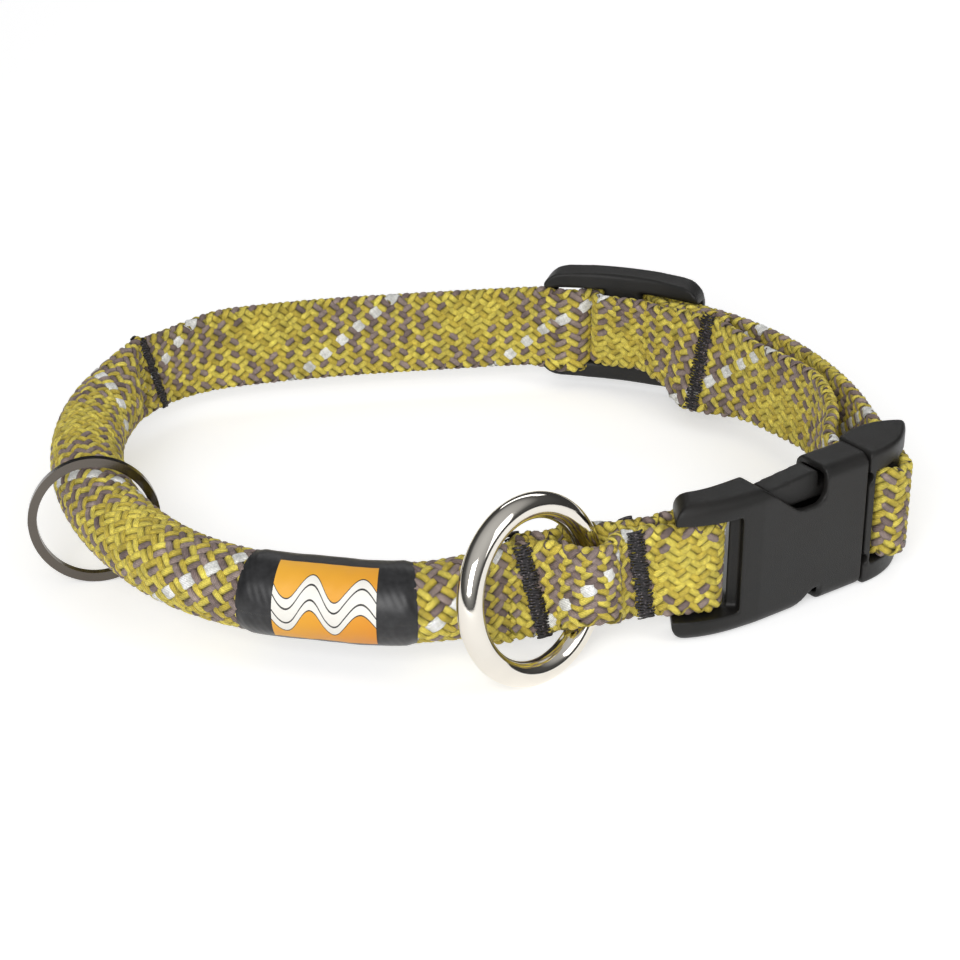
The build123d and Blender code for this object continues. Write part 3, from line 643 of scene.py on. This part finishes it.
def front_line():
    """The front strap from its inner end, round the socket's bar and back to the rope."""
    half = 1.3
    start, end = TACK_2 + half, TACK_1 - half
    middle = (start + end) / 2
    inner = through([
        main.beside(INNER_LAYER_END, -LAYER / 2, 180),
        main.beside(end, -LAYER / 2, 180),
        main.beside(middle, -4.5, 180),
        main.beside(start, -LAYER / 2, 180),
        main.beside(TACK_2 - half, -LAYER / 2, 180),
        main.beside(FOLD_TO, -BAR_WRAP, 180),
    ])
    bar = main.at(0)
    bends = u_turn(moved(bar, -1.2, 0), BAR_WRAP, bar[2] + 180, -180)
    outer = through([
        bends[-1],
        main.beside(FOLD_TO, BAR_WRAP),
        main.beside(TACK_2 - half, LAYER / 2),
        main.beside(start, LAYER / 2),
        main.beside(middle, 7.8),
        main.beside(end, LAYER / 2),
        main.beside(FRONT_END, LAYER / 2),
    ])
    return join(inner, through([inner.knots[-1], bends[0]]), Track(bends), outer)


def nearest(track, point):
    """Distance along a track of the place nearest to a point, looked for from its end."""
    s = np.linspace(0, track.length, 2000)
    x, y, _ = track.sample(s)
    return s[int(np.argmin((x - point[0]) ** 2 + (y - point[1]) ** 2))]


def front_shape(line):
    middle = (TACK_1 + TACK_2) / 2
    spots = [nearest(line, main.beside(middle, offset)) for offset in (-4.5, 7.8)]
    ends = [nearest(line, main.beside(TACK_1, offset)) for offset in (-LAYER / 2, LAYER / 2)]

    def width(s):
        waist = 2.1 * sum(hump(s, spot, 10.5) for spot in spots)
        return STRAP_HALF_WIDTH - waist + 0.7 * sum(hump(s, spot, 5) for spot in ends)

    def lift(s):
        return 1.3 * hump(s, spots[0], 10.5) + 2.3 * hump(s, spots[1], 10.5)

    def lean(s):
        return np.radians(12) * hump(s, spots[1], 10.5)

    return Shape(line, width, lift=lift, lean=lean)


def strap_line():
    """The strap from the rope's end, through the slider, round the plug's bar to its sewn tail."""
    before, after = SLIDER_AT - 16.3, SLIDER_AT + 16.3
    over = through([
        main.at(before),
        main.beside(SLIDER_AT - SLIDER_BEND, SLIDER_HUMP),
        main.beside(SLIDER_AT + SLIDER_BEND, SLIDER_HUMP),
        main.at(after),
    ])
    outer = join(main.part(FLAT_FROM, before), over, main.part(after, main.length))
    plug_bar = main.beside(main.length, -PLUG_WRAP)
    bends = u_turn(plug_bar, PLUG_WRAP, main.at(main.length)[2], -150)
    top = main.beside(TACK_4 + LOOP_TAIL, LOOP_INNER, 180)
    back = through([bends[-1]] + INNER_STATIONS + [top])
    slider_bar = main.beside(SLIDER_AT, SLIDER_OUT)
    loop = u_turn(moved(slider_bar, -SLIDER_BEND, 0), SLIDER_WRAP, slider_bar[2] + 180, -180)
    inner = through([
        top,
        main.beside(TACK_4 - 2.6, LOOP_INNER, 180),
        main.beside(SLIDER_AT + LOOP_MEETS, LOOP_MEETING - 2 * LAYER, 180),
        moved(slider_bar, SLIDER_BEND, -SLIDER_WRAP, 180),
        loop[0],
    ])
    tail = through([
        loop[-1],
        moved(slider_bar, SLIDER_BEND, SLIDER_WRAP),
        main.beside(SLIDER_AT + LOOP_MEETS, LOOP_MEETING - LAYER),
        main.beside(TACK_4 - 2.6, LOOP_INNER + LAYER),
        main.beside(TACK_4 + LOOP_TAIL, LOOP_INNER + LAYER),
    ])
    parts = [outer, Track(bends), back, join(inner, Track(loop), tail)]
    marks = np.cumsum([0] + [part.length for part in parts])
    return join(*parts), marks


def strap_shape(line, marks):
    loop_start = marks[3]
    tack_in = loop_start + LOOP_TAIL
    tack_out = marks[4] - LOOP_TAIL
    slider = nearest(line, main.beside(SLIDER_AT, SLIDER_HUMP))
    inside = LOOP_TAIL + TACK_4 - SLIDER_AT - SLIDER_REACH
    start = TACK_3 - FLAT_FROM + 6

    def gathered(s):
        over = ease((SLIDER_REACH - s + slider) / GATHER_SLOPE + 1)
        over = over * ease((s - slider + DIVES_AT) / GATHER_SLOPE + 1)
        under = ease((s - loop_start - inside) / GATHER_SLOPE + 1)
        under = under * ease((marks[4] - inside - s) / GATHER_SLOPE + 1)
        return over + under

    def width(s):
        loop = 1.2 * (hump(s, tack_in, 14) + hump(s, tack_out, 14))
        ends = 0.8 * hump(s, start, 16) - 0.5 * hump(s, slider - 15, 9)
        return STRAP_HALF_WIDTH + loop - GATHER / 2 * gathered(s) - ends

    def lift(s):
        return GATHER / 2 * gathered(s) - 0.6 * hump(s, start, 16)

    def lean(s):
        return np.radians(20) * hump(s, tack_in, 17) - np.radians(20) * hump(s, tack_out, 15)

    def out(s):
        before = -3.5 * hump(s, slider - 13, 9)
        return before + 0.9 * hump(s, tack_in, 15) - 0.9 * hump(s, tack_out, 14)

    return Shape(line, width, lift=lift, lean=lean, out=out)


# ---------------------------------------------------------------- braid pieces
def build_rope():
    shape = sheath_shape()
    rope = braid("rope_sheath", shape, "collar", FRONT_END, FLAT_FROM, phase=ROPE_PHASE)
    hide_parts("braided_sheath")


def build_front():
    line = front_line()
    strap = braid("front_strap", front_shape(line), "collar", 0.0, line.length, phase=FRONT_PHASE,
                  shift=FRONT_END - line.length)
    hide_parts("front_strap_outer", "front_strap_inner", "socket_fold")


def metres(point, z=MID):
    return tuple((np.array([point[0], point[1], z]) + SHIFT) * MM)


def build_strap():
    line, marks = strap_line()
    shape = strap_shape(line, marks)
    options = {"phase": STRAP_PHASE, "shift": FLAT_FROM}
    cuts = [0.0, 282 - FLAT_FROM, marks[1] - (main.length - 320), marks[1] - (main.length - 372), marks[1],
            marks[2], marks[2] + 38, marks[3], marks[4]]
    names = ["back_strap", "strap_in_slider", "side_strap", "plug_strap", "plug_fold", "inner_strap_front",
             "inner_strap_back", "slider_loop"]
    pieces = {}
    for name, first, last in zip(names, cuts, cuts[1:]):
        pieces[name] = braid(name, shape, None, first, last, **options)
    at = [metres(line.at(cut)) for cut in cuts]
    for name, body in (("strap_in_slider", "slider"), ("plug_fold", "plug"), ("slider_loop", "slider")):
        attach(pieces[name], body)
    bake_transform(pieces["back_strap"])
    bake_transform(pieces["side_strap"])
    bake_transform(pieces["plug_strap"])
    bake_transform(pieces["inner_strap_front"])
    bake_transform(pieces["inner_strap_back"])
    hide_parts("back_strap", "outer_strap")
    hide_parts("plug_fold")
    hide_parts("inner_strap")
    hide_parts("end_loop")


# ---------------------------------------------------------------- bar tacks
def bar_tack(name, node, body, knot, stack, half_width, slant=0.0, lean=0.0, wide=1.0):
    """Dense zigzag thread over both faces of a stack of straps."""
    x, y, h = knot
    heading, outward = unit(h), unit(h + 90)
    verts, faces = [], []
    start = 0
    sides = 6
    gap = 0.30
    count = int(2 * half_width / gap)
    for face in (1, -1):
        for i in range(count + 1):
            up = -half_width + i * gap
            reach = wide * (1.25 + 0.40 * rng.random() + 0.16 * math.sin(i * 2.1))
            tilt = (0.28 if i % 2 else -0.22) + 0.08 * rng.standard_normal()
            shift = slant * up + 0.16 * rng.standard_normal()
            round_off = 0.5 * max(0.0, abs(up) - half_width + 0.9) ** 2
            points = []
            for j in range(7):
                f = j / 6 * 2 - 1
                along = shift + f * reach
                dip = 0.36 * (1 - abs(f) ** 3)
                out = face * (stack / 2 - 0.12 + dip - round_off)
                points.append((along, out, up + tilt * f))
            points = np.array(points)
            thick = 0.21 * (1 + 0.15 * rng.standard_normal())
            turns = np.linspace(0, 2 * math.pi, sides, endpoint=False)
            ring = np.stack([0 * turns, thick * np.cos(turns), thick * np.sin(turns)], -1)
            tube = points[:, None] + ring[None]
            verts.append(tube.reshape(-1, 3))
            faces.append(grid_faces(7, sides, True, start))
            start += 7 * sides
    local = np.concatenate(verts)
    c, s = math.cos(lean), math.sin(lean)
    out = local[:, 1] * c - local[:, 2] * s
    up = local[:, 1] * s + local[:, 2] * c
    place = np.stack([x + local[:, 0] * heading[0] + out * outward[0],
                      y + local[:, 0] * heading[1] + out * outward[1], MID + up], -1)
    obj = make_object(name, place + SHIFT, np.concatenate(faces), THREAD)
    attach(obj, body)
    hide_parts(node)


def build_tacks():
    bar_tack("stitching_1", "bar_tack_1", "collar", main.at(TACK_1), 5.7, 9.6, slant=0.25)
    bar_tack("stitching_2", "bar_tack_2", "collar", main.at(TACK_2), 5.7, 9.1, slant=0.17)
    bar_tack("stitching_3", "bar_tack_3", "collar", main.at(TACK_3), 2.9, 8.9, slant=-0.35, wide=0.6)
    middle = main.beside(TACK_4 + 1.2, LOOP_INNER + LAYER / 2 - 0.9)
    bar_tack("stitching_4", "bar_tack_4", "slider", middle, 5.7, 10.3, slant=-0.06, lean=math.radians(-20))


# ---------------------------------------------------------------- sleeve and label
def cloth_tube(name, material, first, last, radius, low, high, rows, columns, closed, rough):
    """A thin cloth skin round the rope between two angles, with small creases."""
    s = np.linspace(first, last, rows)
    x, y, h = main.sample(s)
    angle = np.radians(np.linspace(low, high, columns, endpoint=not closed))
    u = np.linspace(0, 1, rows)[:, None] + 0 * angle[None]
    v = np.linspace(0, 1, columns)[None] + 0 * s[:, None]
    crease = rough * (np.sin(5.1 * angle[None] + 9 * u) * np.sin(23 * u + 2 * angle[None])
                      + 0.6 * np.sin(11 * angle[None] - 14 * u))
    ends = 0.35 * (ease((0.06 - u) / 0.06) + ease((u - 0.94) / 0.06))
    r = radius + crease - (ends if closed else 0)
    out, up = r * np.cos(angle)[None], r * np.sin(angle)[None]
    sideways, forwards = out * np.sin(h)[:, None], out * np.cos(h)[:, None]
    points = np.stack([x[:, None] - sideways, y[:, None] + forwards, MID + up], -1)
    obj = make_object(name, points.reshape(-1, 3) + SHIFT, grid_faces(rows, columns, closed), material)
    set_uv(obj.data, "cloth", np.stack([u, v], -1).reshape(-1, 2))
    return obj


def build_sleeve():
    first, last = SLEEVE_AT - SLEEVE_HALF, SLEEVE_AT + SLEEVE_HALF
    sleeve = cloth_tube("satin_sleeve_skin", SATIN, first, last, 7.55, 0, 360, 90, 96, True, 0.035)
    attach(sleeve, "collar")
    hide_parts("satin_sleeve")
    half = 8.75
    label = cloth_tube("woven_label", LABEL, SLEEVE_AT - half, SLEEVE_AT + half,
                       7.68, -41, 95, 60, 60, False, 0.03)
    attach(label, "collar")
    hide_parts("label_panel")


# ---------------------------------------------------------------- rings and plastics
MOULD_VOXEL = 0.0003


def build_leash_ring():
    """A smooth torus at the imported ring's own place."""
    node = frame["nodes"]["leash_ring"]
    points = np.array([v.co for v in node.data.vertices])
    centre = points.mean(0)
    _, _, axes = np.linalg.svd(points - centre, full_matrices=False)
    side, up, normal = axes
    verts = []
    rows, columns = 160, 40
    for i in range(rows):
        a = 2 * math.pi * i / rows
        spoke = side * math.cos(a) + up * math.sin(a)
        for j in range(columns):
            b = 2 * math.pi * j / columns
            verts.append(centre / MM + spoke * (15.1 + 2.4 * math.cos(b)) + normal * 2.4 * math.sin(b))
    closing = np.concatenate([grid_faces(rows, columns, True), last_row(rows, columns)])
    ring = make_object("leash_ring_wire", verts, closing, CHROME)
    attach(ring, "leash_ring")
    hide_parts("leash_ring")


def last_row(rows, columns):
    """Faces that join a closed grid's last row to its first."""
    j = np.arange(columns)
    k = (j + 1) % columns
    end = (rows - 1) * columns
    return np.stack([end + j, j, k, end + k], -1)


def soften(name, node, body, passes):
    """A moulded copy of a packed plastic piece, with its edges rounded off."""
    mesh = frame["nodes"][node].data.copy()
    raw = bpy.data.objects.new(name + "_raw", mesh)
    bpy.context.scene.collection.objects.link(raw)
    remesh = raw.modifiers.new("even", "REMESH")
    remesh.mode = "VOXEL"
    remesh.voxel_size = MOULD_VOXEL
    smooth = raw.modifiers.new("round", "SMOOTH")
    smooth.factor = 0.5
    smooth.iterations = passes
    made = bpy.data.meshes.new_from_object(raw.evaluated_get(bpy.context.evaluated_depsgraph_get()))
    bpy.data.objects.remove(raw)
    made.materials.clear()
    made.materials.append(PLASTIC)
    made.shade_smooth()
    piece = bpy.data.objects.new(name, made)
    bpy.context.scene.collection.objects.link(piece)
    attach(piece, body)
    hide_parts(node)


def build_plastics():
    soften("socket_body", "socket_half", "collar", 9)
    soften("plug_body", "plug_base", "plug", 7)
    soften("upper_button", "upper_prong", "upper_prong", 10)
    soften("lower_button", "lower_prong", "lower_prong", 10)
    soften("slider_body", "slider_frame", "slider", 5)


def carry_materials():
    """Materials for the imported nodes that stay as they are."""
    for node, material in (("rope_core", CORE), ("tag_ring", NICKEL_PAINTED_DARK), ("guide_tongue", PLASTIC)):
        for slot in frame["nodes"][node].material_slots:
            slot.material = material


# ---------------------------------------------------------------- stage, light and camera
SKY = [(0.0, 0.05), (0.36, 0.09), (0.62, 0.42), (1.0, 0.60)]   # place on the sky, and its grey
SKY_SLANT = (0.0, -0.40, 0.92)                                # the way that the sky gets brighter


def build_stage():
    bpy.ops.mesh.primitive_plane_add(size=6.0, location=(0, 0, 0))
    floor = bpy.context.object
    floor.name = "floor"
    floor.data.materials.append(floor_material())
    world = bpy.data.worlds.new("studio")
    world.use_nodes = True
    tree = world.node_tree
    direction = tree.nodes.new("ShaderNodeTexCoord")
    slant = tree.nodes.new("ShaderNodeVectorMath")
    slant.operation = "DOT_PRODUCT"
    slant.inputs[1].default_value = SKY_SLANT
    ramp = tree.nodes.new("ShaderNodeValToRGB")
    tree.links.new(direction.outputs["Generated"], slant.inputs[0])
    tree.links.new(slant.outputs["Value"], ramp.inputs[0])
    while len(ramp.color_ramp.elements) < len(SKY):
        ramp.color_ramp.elements.new(0.5)
    for element, (place, grey) in zip(ramp.color_ramp.elements, SKY):
        element.position = place
        element.color = (grey, grey, grey, 1)
    tree.links.new(ramp.outputs[0], tree.nodes["Background"].inputs["Color"])
    bpy.context.scene.world = world
    bpy.context.scene.view_settings.view_transform = "Standard"


def area_light(name, place, aim, size, energy):
    data = bpy.data.lights.new(name, "AREA")
    data.shape = "RECTANGLE"
    data.size, data.size_y = size
    data.energy = energy
    light = bpy.data.objects.new(name, data)
    light.location = place
    light.rotation_euler = (Vector(aim) - Vector(place)).to_track_quat("-Z", "Y").to_euler()
    bpy.context.scene.collection.objects.link(light)


def build_lights():
    area_light("key", (-0.14, -0.66, 0.36), (0, 0, 0.01), (0.40, 0.40), 3.4)
    area_light("fill", (0.55, -0.30, 0.40), (0, 0, 0.01), (0.25, 0.45), 0.7)
    area_light("back", (0.1, 0.60, 0.45), (0, 0, 0.01), (0.7, 0.15), 0.8)


def build_camera():
    data = bpy.data.cameras.new("camera")
    data.lens = 90
    data.sensor_width = 36
    camera = bpy.data.objects.new("camera", data)
    camera.location = (SHIFT[0] * MM, (SHIFT[1] - 430) * MM, 0.22574)
    camera.rotation_euler = (math.radians(63), 0, 0)
    bpy.context.scene.collection.objects.link(camera)
    bpy.context.scene.camera = camera


build_camera()
build_rope()
build_front()
build_strap()
build_tacks()
build_sleeve()
build_leash_ring()
build_plastics()
carry_materials()
build_stage()
build_lights()
